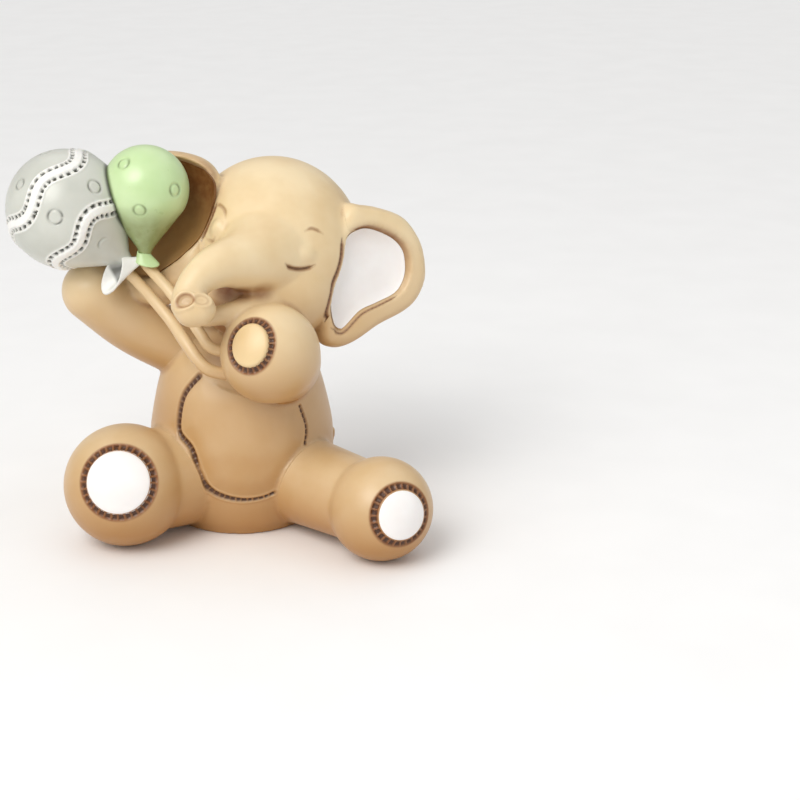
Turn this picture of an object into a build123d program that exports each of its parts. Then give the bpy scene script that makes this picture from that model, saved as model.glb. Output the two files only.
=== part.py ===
from build123d import *
import os
from math import asin, cos, degrees, radians, sin

# A seated elephant coin bank. Millimetres, +Z up, the figure faces -Y.
# The origin is the centre of the flat base, on the surface that it stands on.

# Body, a round-shouldered barrel. A step is how far its side has come in from the widest radius.
body_radius = 26.4
body_height = 57.0
base_rim = 3.4
base_slope = (0.75, 1.0)
belly_z = 17.0
waist_z = 28.0
waist_step = 0.3
shoulder_step = 3.9
crown_radius = 13.2
crown_drop = 2.0
crown_slope = (-1.0, 0.55)
cap_radius = 7.9
wall = 3.6
floor_thickness = 6.0
chamber_flare = 1.7

# Coin slot across the shoulders, at the back
slot_length = 33.0
slot_height = 6.5
slot_centre_z = 43.0

# Stopper in the base
stopper_hole_radius = 14.5
stopper_clearance = 0.08
flange_lip = 2.3
flange_thickness = 2.0
flange_recess = 1.0
flange_clearance = 0.3
stopper_neck_length = 7.0
stopper_wall = 2.6
pull_ridge = (14.0, 3.0, 0.7)
pry_notch_radius = 3.0

# Head, tilted towards the figure's left, and its trunk
head_radii = (25.5, 26.0, 26.5)
head_shift = (10.5, 4.0)
head_sink = 6.5
head_wall = 4.0
muzzle_radii = (20.0, 15.0, 16.0)
muzzle_from_head = (-2.5, -14.0, -7.0)
trunk_root_radius = 12.5
trunk_middle_radius = 9.6
trunk_tip_radius = 6.4
trunk_root = (-5.0, -20.0, 1.5)
trunk_middle = (-13.0, -30.0, -1.5)
trunk_tip = (-20.5, -37.0, -5.0)

# Ears, rounded plates with a sunk lining in front. A plan runs round the ear as seen from the front.
ear_thickness = 8.0
ear_rounding = 3.0
ear_rim = 4.2
lining_sink = 1.0
lining_thickness = 1.2
ear_left_from_head = (27.3, -10.0, -4.2)
ear_left_turn = (-8.0, 0.0, 26.0)
ear_left_plan = [(-13.0, 15.0), (5.0, 18.8), (15.0, 12.0), (16.5, -1.0)]
ear_left_plan += [(8.0, -13.5), (-11.5, -20.8), (-17.0, -8.0)]
ear_right_from_head = (-34.0, -7.5, 8.8)
ear_right_turn = (-8.0, 0.0, -28.0)
ear_right_plan = [(16.0, 15.0), (-1.0, 21.0), (-14.0, 15.0), (-18.5, 1.0)]
ear_right_plan += [(-13.0, -13.0), (1.0, -20.0), (17.0, -8.0)]

# Legs, each a thigh and a round foot
hip_reach = 11.9
thigh_radius = 14.6
foot_left_radius = 14.4
foot_left_angle = 44.0
foot_left_reach = 27.5
foot_right_radius = 16.6
foot_right_angle = -56.5
foot_right_reach = 13.7
foot_flat = 0.25
pad_left_radius = 7.2
pad_left_facing = (0.36, -0.91, 0.22)
pad_right_radius = 8.5
pad_right_facing = (-0.06, -0.93, 0.36)
pad_depth = 1.2

# Arms, with their joints placed from the body's axis at shoulder height
shoulder_drop = 11.0
upper_arm_radius = 10.5
raised_shoulder_inset = 11.9
raised_shoulder_drop = 1.0
raised_elbow_radius = 9.7
raised_elbow = (-29.0, -1.0, 9.5)
raised_hand_radius = 9.3
raised_hand = (-40.3, -3.5, 20.0)
bent_shoulder_inset = 14.5
bent_shoulder = (-6.0, -1.5)
bent_elbow_radius = 11.8
bent_elbow = (14.0, -19.0, 3.5)
paw_radius = 13.6
paw_centre = (8.4, -30.0, 10.2)
paw_pad_radii = (4.9, 5.8)
paw_pad_facing = (-0.43, -0.78, 0.45)

# Tail, which lies against the back and curls up the figure's left side.
# The root and the tip are an angle from straight back, a height and a stand-off from the widest radius.
tail_radius = 3.1
tail_floor_gap = 0.4
tail_root = (2.0, 10.0, -0.5)
tail_low_angle = 30.0
tail_low_sink = 1.6
tail_tip = (70.0, 19.5, 0.5)

# Balloons, placed from the raised hand, and their strings, from the knots down to the bent paw
grey_radius = 16.5
grey_from_hand = (-8.0, -2.5, 24.8)
grey_knot_from_hand = (7.3, -7.5, 11.5)
green_radius = 12.8
green_from_hand = (14.5, -8.5, 30.4)
green_knot_from_hand = (16.9, -9.0, 13.8)
knot_radius = 2.0
lip_radius = 4.2
lip_length = 4.5
string_radius = 1.7
string_bend = 6.0
outer_from_knot = (3.0, -1.5, -2.5)
outer_from_paw = [(-28.9, 13.5, 7.8), (-21.9, 8.0, -3.2), (-5.4, 2.0, -6.7)]
inner_from_knot = (0.2, -1.0, -2.8)
inner_from_paw = [(-24.9, 12.0, 9.8), (-19.4, 7.0, 0.3), (-5.4, 1.5, -1.4)]

up = (Align.CENTER, Align.CENTER, Align.MIN)
flange_radius = stopper_hole_radius + flange_lip
base_radius = flange_radius + flange_clearance + base_rim
shoulder_height = body_height - shoulder_drop
head_centre = (head_shift[0], head_shift[1], body_height - head_sink + head_radii[2])


def plus(first, second):
    return tuple(a + b for a, b in zip(first, second))


def ellipsoid(centre, radii, turn=(0.0, 0.0, 0.0)):
    return Location(centre, turn) * scale(Sphere(1.0), by=radii)


def ball(centre, radius):
    return Pos(*centre) * Sphere(radius)


# A limb between two balls, whose side is tangent to both
def limb(start, end, start_radius, end_radius):
    axis = Vector(*end) - Vector(*start)
    length = axis.length
    lean = asin((start_radius - end_radius) / length)
    start_edge = (start_radius * cos(lean), start_radius * sin(lean))
    end_edge = (end_radius * cos(lean), length + end_radius * sin(lean))
    outline = Polyline(
        (0.0, -start_radius), (0.0, length + end_radius)
    ) + CenterArc((0.0, length), end_radius, degrees(lean), 90.0 - degrees(lean))
    outline += Line(start_edge, end_edge)
    outline += CenterArc((0.0, 0.0), start_radius, -90.0, 90.0 + degrees(lean))
    half = make_face(Plane.XZ * outline)
    return Plane(origin=start, z_dir=axis).location * revolve(half, Axis.Z)


def chain(points, radii):
    solid = limb(points[0], points[1], radii[0], radii[1])
    for index in range(1, len(points) - 1):
        solid += limb(points[index], points[index + 1], radii[index], radii[index + 1])
    return solid


# What lies above the surface that the figure stands on
def above_floor(solid):
    size = 10.0 * body_radius
    return solid & Box(size, size, size, align=up)


# The largest solid of a piece, without crumbs that a cut leaves
def whole(shape):
    return max(shape.solids(), key=lambda solid: solid.volume)


def without(shape, *others):
    for other in others:
        shape = shape - other
    return whole(shape)


# Barrel from the rim of its base up to its flat top, moved in by an inset
def barrel(inset, rim, bottom, top):
    belly = body_radius - inset
    crown = (crown_radius - inset / 2, top - crown_drop)
    points = [
        (rim, bottom),
        (belly, belly_z),
        (belly - waist_step, waist_z),
        (belly - shoulder_step, slot_centre_z),
        crown,
    ]
    side = Spline(*points, tangents=[base_slope, crown_slope])
    roof = Polyline(crown, (cap_radius, top), (0.0, top), (0.0, bottom), (rim, bottom))
    return revolve(make_face(Plane.XZ * (side + roof)), Axis.Z)


def coin_slot():
    outline = SlotOverall(slot_length, slot_height)
    return Pos(0, 0, slot_centre_z) * extrude(Plane.XZ * outline, -2.0 * body_radius)


def stopper_seat():
    bore = Cylinder(stopper_hole_radius, 3.0 * floor_thickness)
    seat_depth = flange_recess + flange_thickness
    seat = Cylinder(flange_radius + flange_clearance, seat_depth, align=up)
    notch = Pos(0, -flange_radius, 0) * Cylinder(pry_notch_radius, seat_depth, align=up)
    return bore + seat + notch


def body_shell(outer):
    chamber = barrel(wall, base_radius + chamber_flare, floor_thickness, body_height - wall)
    return whole(outer - chamber - coin_slot() - stopper_seat())


def stopper():
    flange = Pos(0, 0, flange_recess) * Cylinder(flange_radius, flange_thickness, align=up)
    neck_outer = stopper_hole_radius - stopper_clearance
    neck_bottom = flange_recess + flange_thickness
    neck = Pos(0, 0, neck_bottom) * Cylinder(neck_outer, stopper_neck_length, align=up)
    cup = Pos(0, 0, neck_bottom) * Cylinder(neck_outer - stopper_wall, stopper_neck_length, align=up)
    ridge_length, ridge_width, ridge_height = pull_ridge
    ridge = Pos(0, 0, flange_recess - ridge_height) * Box(ridge_length, ridge_width, ridge_height, align=up)
    return whole(flange + neck - cup + ridge)


def from_head(offset):
    return plus(head_centre, offset)


def head_outer():
    skull = ellipsoid(head_centre, head_radii)
    muzzle = ellipsoid(from_head(muzzle_from_head), muzzle_radii)
    trunk = chain(
        [from_head(trunk_root), from_head(trunk_middle), from_head(trunk_tip)],
        [trunk_root_radius, trunk_middle_radius, trunk_tip_radius],
    )
    return whole(skull + muzzle + trunk)


def head(outer, body):
    hollow = ellipsoid(head_centre, tuple(radius - head_wall for radius in head_radii))
    return without(outer, body, hollow)


# One ear and its lining. The lining lies in a shallow pocket in the ear's front face.
def ear(offset, plan, turn, neighbours):
    place = Location(from_head(offset), turn)
    outline = make_face(Plane.XZ * Spline(*plan, periodic=True))
    front = Pos(0, -ear_thickness / 2, 0)
    plate = front * extrude(outline, ear_thickness, dir=(0, 1, 0))
    plate = fillet(plate.edges().filter_by(lambda edge: edge.is_closed), ear_rounding)
    half_width = outline.bounding_box().size.X / 2
    inner = scale(outline, by=1 - ear_rim / half_width)
    pocket = front * extrude(inner, lining_sink + lining_thickness, dir=(0, 1, 0))
    opening = front * extrude(inner, lining_sink, dir=(0, 1, 0))
    lining = pocket - opening
    return without(place * (plate - pocket), *neighbours), without(place * lining, *neighbours)


# A round patch, level with the surface around it
def pad(solid, centre, reach, facing, radii):
    outward = Vector(*facing).normalized()
    plane = Plane(origin=centre, z_dir=outward)
    prism = extrude(plane * Ellipse(*radii), 2.0 * reach)
    core = Pos(*(outward * -pad_depth)) * solid
    return whole((solid & prism) - core)


# Centre of a foot that stands on the floor, at an angle from straight ahead
def foot_centre(angle, reach, radius):
    away = body_radius + reach
    return (away * sin(radians(angle)), -away * cos(radians(angle)), radius - foot_flat)


def leg(angle, reach, radius, facing, pad_radius, body):
    foot = foot_centre(angle, reach, radius)
    hip = (hip_reach * sin(radians(angle)), -hip_reach * cos(radians(angle)), thigh_radius - foot_flat)
    solid = above_floor(limb(hip, foot, thigh_radius, radius))
    patch = pad(solid, foot, radius, facing, (pad_radius, pad_radius))
    return without(solid, patch, body), patch


def from_shoulder(offset):
    return plus((0, 0, shoulder_height), offset)


def raised_arm(body, *others):
    shoulder = from_shoulder((raised_shoulder_inset - body_radius, 0.0, -raised_shoulder_drop))
    points = [shoulder, from_shoulder(raised_elbow), from_shoulder(raised_hand)]
    solid = chain(points, [upper_arm_radius, raised_elbow_radius, raised_hand_radius])
    return without(solid, body, *others)


def bent_arm(body, *others):
    shoulder = from_shoulder((body_radius - bent_shoulder_inset, *bent_shoulder))
    paw = from_shoulder(paw_centre)
    points = [shoulder, from_shoulder(bent_elbow), paw]
    solid = chain(points, [upper_arm_radius, bent_elbow_radius, paw_radius])
    patch = pad(solid, paw, paw_radius, paw_pad_facing, paw_pad_radii)
    return without(solid, patch, body, *others), patch


# The tail is one round arc that bears on the body, lowest beside the base
def tail(body, *others):
    points = []
    for angle, height, stand_off in [
        tail_root,
        (tail_low_angle, tail_radius + tail_floor_gap, -tail_low_sink),
        tail_tip,
    ]:
        away = body_radius + stand_off
        points.append((away * sin(radians(angle)), away * cos(radians(angle)), height))
    path = ThreePointArc(*points)
    section = Plane(origin=path @ 0, z_dir=path % 0) * Circle(tail_radius)
    solid = sweep(section, path) + ball(points[0], tail_radius) + ball(points[-1], tail_radius)
    return without(solid, body, *others)


def from_hand(offset):
    return from_shoulder(plus(raised_hand, offset))


def balloon(from_hand_to_centre, from_hand_to_knot, radius, *others):
    centre = from_hand(from_hand_to_centre)
    knot = from_hand(from_hand_to_knot)
    bulb = limb(centre, knot, radius, knot_radius)
    outward = Vector(*knot) - Vector(*centre)
    lip = Plane(origin=knot, z_dir=outward).location * Cone(knot_radius, lip_radius, lip_length, align=up)
    return without(bulb + lip, *others)


# A moulded string that follows a route of rounded corners
def string(knot_offset, from_knot, from_paw, *others):
    start = plus(from_hand(knot_offset), from_knot)
    paw = from_shoulder(paw_centre)
    route = [start] + [plus(paw, offset) for offset in from_paw]
    path = FilletPolyline(*route, radius=string_bend)
    section = Plane(origin=path @ 0, z_dir=path % 0) * Circle(string_radius)
    return without(sweep(section, path), *others)


def build():
    pieces = {}
    body = barrel(0.0, base_radius, 0.0, body_height)
    skull = head_outer()
    pieces["body_shell"] = body_shell(body)
    pieces["base_stopper"] = stopper()
    pieces["head"] = head(skull, body)
    pieces["leg_left"], pieces["foot_pad_left"] = leg(
        foot_left_angle, foot_left_reach, foot_left_radius, pad_left_facing, pad_left_radius, body
    )
    pieces["leg_right"], pieces["foot_pad_right"] = leg(
        foot_right_angle, foot_right_reach, foot_right_radius, pad_right_facing, pad_right_radius, body
    )
    pieces["raised_arm"] = raised_arm(body, skull)
    pieces["bent_arm"], pieces["paw_pad"] = bent_arm(body, skull)
    pieces["ear_left"], pieces["ear_left_lining"] = ear(
        ear_left_from_head, ear_left_plan, ear_left_turn, [skull, body]
    )
    pieces["ear_right"], pieces["ear_right_lining"] = ear(
        ear_right_from_head, ear_right_plan, ear_right_turn, [skull, body, pieces["raised_arm"]]
    )
    in_the_way = [skull, pieces["raised_arm"], pieces["ear_right"], pieces["ear_right_lining"]]
    pieces["balloon_grey"] = balloon(grey_from_hand, grey_knot_from_hand, grey_radius, *in_the_way)
    in_the_way.append(pieces["balloon_grey"])
    pieces["balloon_green"] = balloon(green_from_hand, green_knot_from_hand, green_radius, *in_the_way)
    in_the_way += [body, pieces["balloon_green"], pieces["bent_arm"]]
    pieces["balloon_string_outer"] = string(
        grey_knot_from_hand, outer_from_knot, outer_from_paw, *in_the_way
    )
    in_the_way.append(pieces["balloon_string_outer"])
    pieces["balloon_string_inner"] = string(
        green_knot_from_hand, inner_from_knot, inner_from_paw, *in_the_way
    )
    pieces["tail"] = tail(body, pieces["leg_left"])
    return pieces


os.makedirs("parts", exist_ok=True)
for name, solid in build().items():
    solid.label = name
    export_step(solid, f"parts/{name}.step")
    print(name, round(solid.volume))
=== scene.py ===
import bpy
import bmesh
import numpy as np
from math import cos, pi, radians, sin, sqrt
from mathutils import Matrix, Vector
from mathutils.bvhtree import BVHTree
from mathutils.kdtree import KDTree


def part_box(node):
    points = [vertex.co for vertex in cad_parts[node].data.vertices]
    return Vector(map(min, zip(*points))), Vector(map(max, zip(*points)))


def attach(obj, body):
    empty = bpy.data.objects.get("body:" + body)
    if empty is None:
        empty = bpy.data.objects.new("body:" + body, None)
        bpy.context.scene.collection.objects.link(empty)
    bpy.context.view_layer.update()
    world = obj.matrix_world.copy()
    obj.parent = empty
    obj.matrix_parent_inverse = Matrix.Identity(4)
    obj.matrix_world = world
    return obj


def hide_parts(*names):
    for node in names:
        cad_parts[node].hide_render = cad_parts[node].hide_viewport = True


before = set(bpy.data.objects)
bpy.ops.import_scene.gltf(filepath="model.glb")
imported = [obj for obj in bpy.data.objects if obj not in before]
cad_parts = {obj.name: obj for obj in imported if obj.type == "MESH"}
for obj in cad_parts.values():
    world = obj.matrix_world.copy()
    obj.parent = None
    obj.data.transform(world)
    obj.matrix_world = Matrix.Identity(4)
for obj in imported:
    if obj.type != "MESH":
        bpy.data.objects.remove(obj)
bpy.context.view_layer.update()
scene = bpy.context.scene
mm = 0.001  # the sizes below are millimetres on the frame's own axes


def boxOf(cadNode):
    low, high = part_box(cadNode)
    return Vector(low) / mm, Vector(high) / mm


def objectFrom(name, mesh):
    piece = bpy.data.objects.new(name, mesh)
    scene.collection.objects.link(piece)
    return piece


def meshObject(name, bm):
    mesh = bpy.data.meshes.new(name)
    bm.to_mesh(mesh)
    bm.free()
    return objectFrom(name, mesh)


def vertsIn(geometry):
    return [item for item in geometry if isinstance(item, bmesh.types.BMVert)]


# Applies what the modifiers make and gives a plain object back
def settled(piece):
    bpy.context.view_layer.update()
    graph = bpy.context.evaluated_depsgraph_get()
    mesh = bpy.data.meshes.new_from_object(piece.evaluated_get(graph))
    name = piece.name
    bpy.data.objects.remove(piece)
    mesh.name = name
    return objectFrom(name, mesh)


def pointsOf(mesh, what="co"):
    values = np.empty(len(mesh.vertices) * 3)
    mesh.vertices.foreach_get(what, values)
    return values.reshape(-1, 3) / (mm if what == "co" else 1.0)


def movePoints(mesh, points):
    mesh.vertices.foreach_set("co", (points * mm).ravel())
    mesh.update()


def paint(mesh, name, values):
    layer = mesh.attributes.get(name) or mesh.attributes.new(name, "FLOAT", "POINT")
    layer.data.foreach_set("value", np.asarray(values, dtype=np.float32))


def painted(mesh, name):
    values = np.zeros(len(mesh.vertices), dtype=np.float32)
    layer = mesh.attributes.get(name)
    if layer:
        layer.data.foreach_get("value", values)
    return values


def paintBare(piece, names=("wash", "line")):
    for name in names:
        paint(piece.data, name, np.zeros(len(piece.data.vertices)))


def ease(low, high, value):
    share = np.clip((value - low) / (high - low), 0.0, 1.0)
    return share * share * (3.0 - 2.0 * share)


# An even line through a few points; a fourth number, such as a radius, is carried along
def smoothLine(points, step, closed=False):
    knots = [np.array(point, dtype=float) for point in points]
    if closed:
        knots = [knots[-1]] + knots + knots[:2]
    else:
        knots = [2 * knots[0] - knots[1]] + knots + [2 * knots[-1] - knots[-2]]
    fine = []
    for a, b, c, d in zip(knots, knots[1:], knots[2:], knots[3:]):
        for t in np.linspace(0, 1, 24, endpoint=False):
            fine.append(0.5 * (2 * b + (c - a) * t + (2 * a - 5 * b + 4 * c - d) * t ** 2
                               + (3 * b - a - 3 * c + d) * t ** 3))
    fine = np.array(fine + [knots[-2]])
    run = np.concatenate([[0.0], np.cumsum(np.linalg.norm(np.diff(fine[:, :3], axis=0), axis=1))])
    places = np.linspace(0.0, run[-1], max(3, int(round(run[-1] / step)) + 1))
    line = np.stack([np.interp(places, run, fine[:, axis]) for axis in range(fine.shape[1])], 1)
    return (line[:-1], places[:-1]) if closed else (line, places)


def turnOf(angles):
    turn = Matrix.Identity(4)
    for angle, axis in zip(angles, "XYZ"):
        turn = turn @ Matrix.Rotation(radians(angle), 4, axis)
    return turn


# A frame whose z axis points along a direction
def facing(centre, direction):
    turn = Vector(direction).to_track_quat("Z", "Y").to_matrix().to_4x4()
    return Matrix.Translation(Vector(centre)) @ turn


def addBall(bm, centre, radii, turn=(0, 0, 0), divisions=5):
    size = Matrix.Diagonal((*[radius * mm for radius in radii], 1))
    place = Matrix.Translation(Vector(centre) * mm) @ turnOf(turn) @ size
    bmesh.ops.create_icosphere(bm, subdivisions=divisions, radius=1, matrix=place)


# The skin stretched over a row of balls, two at a time; each ball is (x, y, z, radius)
def addLimb(bm, balls, divisions=4):
    for first, second in zip(balls, balls[1:]):
        pair = bmesh.new()
        for x, y, z, radius in (first, second):
            place = Matrix.Translation(Vector((x, y, z)) * mm)
            bmesh.ops.create_icosphere(pair, subdivisions=divisions, radius=radius * mm, matrix=place)
        bmesh.ops.delete(pair, geom=pair.edges[:] + pair.faces[:], context="EDGES_FACES")
        hull = bmesh.ops.convex_hull(pair, input=pair.verts[:])
        bmesh.ops.delete(pair, geom=vertsIn(hull["geom_interior"]), context="VERTS")
        mesh = bpy.data.meshes.new("pair")
        pair.to_mesh(mesh)
        pair.free()
        bm.from_mesh(mesh)
        bpy.data.meshes.remove(mesh)


# A shape turned about the upright axis from (radius, height) points, then put in place
def addTurned(bm, profile, steps=160, place=Matrix.Identity(4)):
    verts = [bm.verts.new((radius, 0, height)) for radius, height in profile]
    edges = [bm.edges.new(pair) for pair in zip(verts, verts[1:])]
    bmesh.ops.spin(bm, geom=verts + edges, cent=(0, 0, 0), axis=(0, 0, 1), angle=2 * pi,
                   steps=steps, use_merge=True)
    made = [vert for vert in bm.verts if vert.is_valid]
    bmesh.ops.transform(bm, matrix=Matrix.Scale(mm, 4) @ place, verts=made)
    bmesh.ops.remove_doubles(bm, verts=made, dist=0.002 * mm)
    bmesh.ops.recalc_face_normals(bm, faces=bm.faces[:])


# An outline carried through rings of (depth, size) along y, closed at both ends
def addLofted(bm, outline, rings, place):
    middle = Vector((sum(x for x, z in outline), 0, sum(z for x, z in outline))) / len(outline)
    depth, size = rings[0]
    verts = [bm.verts.new(middle + Vector((x - middle.x, 0, z - middle.z)) * size + Vector((0, depth, 0)))
             for x, z in outline]
    edges = [bm.edges.new((verts[index - 1], verts[index])) for index in range(len(verts))]
    made, ends = list(verts), [edges]
    for nextDepth, nextSize in rings[1:]:
        new = bmesh.ops.extrude_edge_only(bm, edges=edges)["geom"]
        verts = vertsIn(new)
        edges = [item for item in new if isinstance(item, bmesh.types.BMEdge)]
        ratio = nextSize / size
        bmesh.ops.translate(bm, vec=(0, nextDepth - depth, 0), verts=verts)
        bmesh.ops.scale(bm, vec=(ratio, 1, ratio), space=Matrix.Translation(-middle), verts=verts)
        made += verts
        depth, size = nextDepth, nextSize
    ends.append(edges)
    for loop in ends:
        bmesh.ops.contextual_create(bm, geom=loop)
    bmesh.ops.transform(bm, matrix=Matrix.Scale(mm, 4) @ place, verts=made)
    bmesh.ops.recalc_face_normals(bm, faces=bm.faces[:])


def cut(piece, tool, operation):
    modifier = piece.modifiers.new("cut", "BOOLEAN")
    modifier.operation = operation
    modifier.solver = "MANIFOLD"
    modifier.object = tool
    return settled(piece)


# Fuses overlapping clay into one even skin and softens it
def fused(piece, grain, rounds):
    remesh = piece.modifiers.new("fuse", "REMESH")
    remesh.mode = "VOXEL"
    remesh.voxel_size = grain * mm
    if rounds:
        soften = piece.modifiers.new("soften", "SMOOTH")
        soften.factor = 0.5
        soften.iterations = rounds
    return settled(piece)


# Splits a piece in two along a tool's skin; both halves are closed
def parted(piece, tool, innerName):
    inside = cut(objectFrom(innerName, piece.data.copy()), tool, "INTERSECT")
    outside = cut(piece, tool, "DIFFERENCE")
    bpy.data.objects.remove(tool)
    return inside, outside


# The loose solids of a mesh, each named by the nearest of some places
def looseSolids(piece, names, places):
    bm = bmesh.new()
    bm.from_mesh(piece.data)
    bm.verts.ensure_lookup_table()
    group = np.full(len(bm.verts), -1)
    count = 0
    for start in bm.verts:
        if group[start.index] >= 0:
            continue
        group[start.index] = count
        front = [start]
        while front:
            reached = [edge.other_vert(vert) for vert in front for edge in vert.link_edges]
            front = []
            for vert in reached:
                if group[vert.index] < 0:
                    group[vert.index] = count
                    front.append(vert)
        count += 1
    points = pointsOf(piece.data)
    found = {}
    for index in range(count):
        member = group == index
        middle = (points[member].min(axis=0) + points[member].max(axis=0)) / 2
        away = [np.linalg.norm(middle - np.array(place)) for place in places]
        found.setdefault(names[int(np.argmin(away))], []).append(index)
    made = {}
    for name, indices in found.items():
        copy = bm.copy()
        away = [vert for vert in copy.verts if group[vert.index] not in indices]
        bmesh.ops.delete(copy, geom=away, context="VERTS")
        made[name] = meshObject(name, copy)
        print("  solid", name, len(indices), "parts", len(made[name].data.vertices))
    bm.free()
    bpy.data.objects.remove(piece)
    return made


# How far each point lies in a hollow: the way it moves when the skin is relaxed
def hollows(piece, rounds):
    copy = objectFrom("relaxed", piece.data.copy())
    soften = copy.modifiers.new("relax", "SMOOTH")
    soften.factor = 0.5
    soften.iterations = rounds
    copy = settled(copy)
    moved = pointsOf(copy.data) - pointsOf(piece.data)
    bpy.data.objects.remove(copy)
    return np.einsum("ij,ij->i", moved, pointsOf(piece.data, "normal"))


# For each point within reach of a line: its index, its distance and its place along the line
def nearLine(points, line, run, reach):
    low, high = line.min(axis=0) - reach, line.max(axis=0) + reach
    tree = KDTree(len(line))
    for index, point in enumerate(line):
        tree.insert(point, index)
    tree.balance()
    picked, away, along = [], [], []
    for index in np.nonzero(np.all((points > low) & (points < high), axis=1))[0]:
        place, nearest, distance = tree.find(points[index])
        if distance < reach:
            picked.append(index)
            away.append(distance)
            along.append(run[nearest])
    return np.array(picked, dtype=int), np.array(away), np.array(along)


# Splits the faces near some lines until they are fine enough to carve
def refine(piece, lines, reach, finest, rounds=3):
    for turn in range(rounds):
        mesh = piece.data
        ends = np.empty(len(mesh.edges) * 2, dtype=np.int64)
        mesh.edges.foreach_get("vertices", ends)
        ends = ends.reshape(-1, 2)
        points = pointsOf(mesh)
        first, second = points[ends[:, 0]], points[ends[:, 1]]
        long = np.linalg.norm(first - second, axis=1) > 1.4 * finest
        chosen = set()
        for line in lines:
            near = nearLine((first + second) / 2, line, np.zeros(len(line)), reach)[0]
            chosen.update(int(index) for index in near if long[index])
        if not chosen:
            break
        bm = bmesh.new()
        bm.from_mesh(mesh)
        bm.edges.ensure_lookup_table()
        edges = [bm.edges[index] for index in chosen]
        bmesh.ops.subdivide_edges(bm, edges=edges, cuts=1, use_grid_fill=True)
        bmesh.ops.triangulate(bm, faces=[face for face in bm.faces if len(face.verts) > 4])
        bm.to_mesh(mesh)
        bm.free()


# Moves the skin in and out near a line; shape(away, along) gives (height, dark, wash)
def carve(piece, line, run, reach, shape):
    points, out = pointsOf(piece.data), pointsOf(piece.data, "normal")
    picked, away, along = nearLine(points, line, run, reach)
    if not len(picked):
        return
    height, dark, wash = shape(away, along)
    points[picked] += out[picked] * height[:, None]
    movePoints(piece.data, points)
    for name, amount in (("line", dark), ("wash", wash)):
        values = painted(piece.data, name)
        values[picked] = np.maximum(values[picked], amount)
        paint(piece.data, name, values)


# A row of stitches: 1 inside a stitch and 0 in the gap after it
def stitches(along, pitch, share):
    place = np.mod(along / pitch, 1.0)
    edge = 0.09
    return ease(0, edge, place) * (1 - ease(share, share + edge, place))


cameraView = {"place": (3.0, -455.7, 195.8), "aim": (46.0, -3.9, 33.1), "lens": 74.5, "sensor": 36.0,
              "near": 10.0, "far": 20000.0}
softboxes = {
    "keySoftbox": {"place": (-260, -420, 520), "size": 360, "power": 1.3, "tint": (1.0, 0.98, 0.95)},
    "fillSoftbox": {"place": (420, -360, 260), "size": 420, "power": 0.25, "tint": (0.97, 0.98, 1.0)},
}
# Far soft lights that fall evenly on the object and the floor
suns = {
    "windowLight": {"from": (-0.55, -0.55, 0.8), "spread": 50.0, "strength": 1.15,
                    "tint": (1.0, 0.98, 0.95)},
    "skyLight": {"from": (0.15, 0.25, 1.0), "spread": 80.0, "strength": 0.55, "tint": (1.0, 1.0, 1.0)},
}
worldGlow = 0.44
lightAim = (0, 0, 50)
sunAway = 900


def aimed(data, place, target):
    made = bpy.data.objects.new(data.name, data)
    scene.collection.objects.link(made)
    made.location = Vector(place) * mm
    made.rotation_euler = (Vector(target) - Vector(place)).to_track_quat("-Z", "Y").to_euler()
    return made


def addStudio():
    data = bpy.data.cameras.new("productCamera")
    data.lens = cameraView["lens"]
    data.sensor_width = cameraView["sensor"]
    data.clip_start = cameraView["near"] * mm
    data.clip_end = cameraView["far"] * mm
    scene.camera = aimed(data, cameraView["place"], cameraView["aim"])
    for name, box in softboxes.items():
        data = bpy.data.lights.new(name, "AREA")
        data.shape = "DISK"
        data.size = box["size"] * mm
        data.energy = box["power"]
        data.color = box["tint"]
        aimed(data, box["place"], lightAim)
    for name, sun in suns.items():
        data = bpy.data.lights.new(name, "SUN")
        data.angle = radians(sun["spread"])
        data.energy = sun["strength"]
        data.color = sun["tint"]
        aimed(data, Vector(sun["from"]) * sunAway, (0, 0, 0))
    world = bpy.data.worlds.new("paleStudio")
    world.use_nodes = True
    world.node_tree.nodes["Background"].inputs["Color"].default_value = (1, 1, 1, 1)
    world.node_tree.nodes["Background"].inputs["Strength"].default_value = worldGlow
    scene.world = world
    scene.view_settings.view_transform = "Standard"


addStudio()
print("camera and lights ready")


def linear(hexText):
    parts = [int(hexText[index:index + 2], 16) / 255 for index in (1, 3, 5)]
    return (*[part / 12.92 if part <= 0.04045 else ((part + 0.055) / 1.055) ** 2.4 for part in parts], 1.0)


# Adds one node; inputs are values or links, settings are its own switches
def node(tree, kind, inputs=None, **settings):
    made = tree.nodes.new(kind)
    for key, value in settings.items():
        setattr(made, key, value)
    for key, value in (inputs or {}).items():
        if isinstance(value, bpy.types.NodeSocket):
            tree.links.new(value, made.inputs[key])
        else:
            made.inputs[key].default_value = value
    return made


def blankMaterial(name):
    material = bpy.data.materials.new(name)
    material.use_nodes = True
    tree = material.node_tree
    tree.nodes.clear()
    return material, tree, node(tree, "ShaderNodeTexCoord").outputs["Object"]


# Pattern sizes and heights in millimetres; a darker low tone thickens from one height down to another, and
# is lighter on faces that turn up: painted shade
resinLook = {
    "cloud": 14.0, "cloudFrom": 0.35, "cloudTo": 0.68, "streak": 2.2, "peel": 0.6, "bump": 0.06,
    "bumpDepth": 0.2, "lowToneUneven": 18.0, "lowToneFrom": 92.0, "lowToneTo": 48.0, "lowToneMost": 0.95,
    "shadeFacingUp": 0.35, "washBroken": 0.55, "roughFrom": -0.05, "roughTo": 0.09,
}
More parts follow.
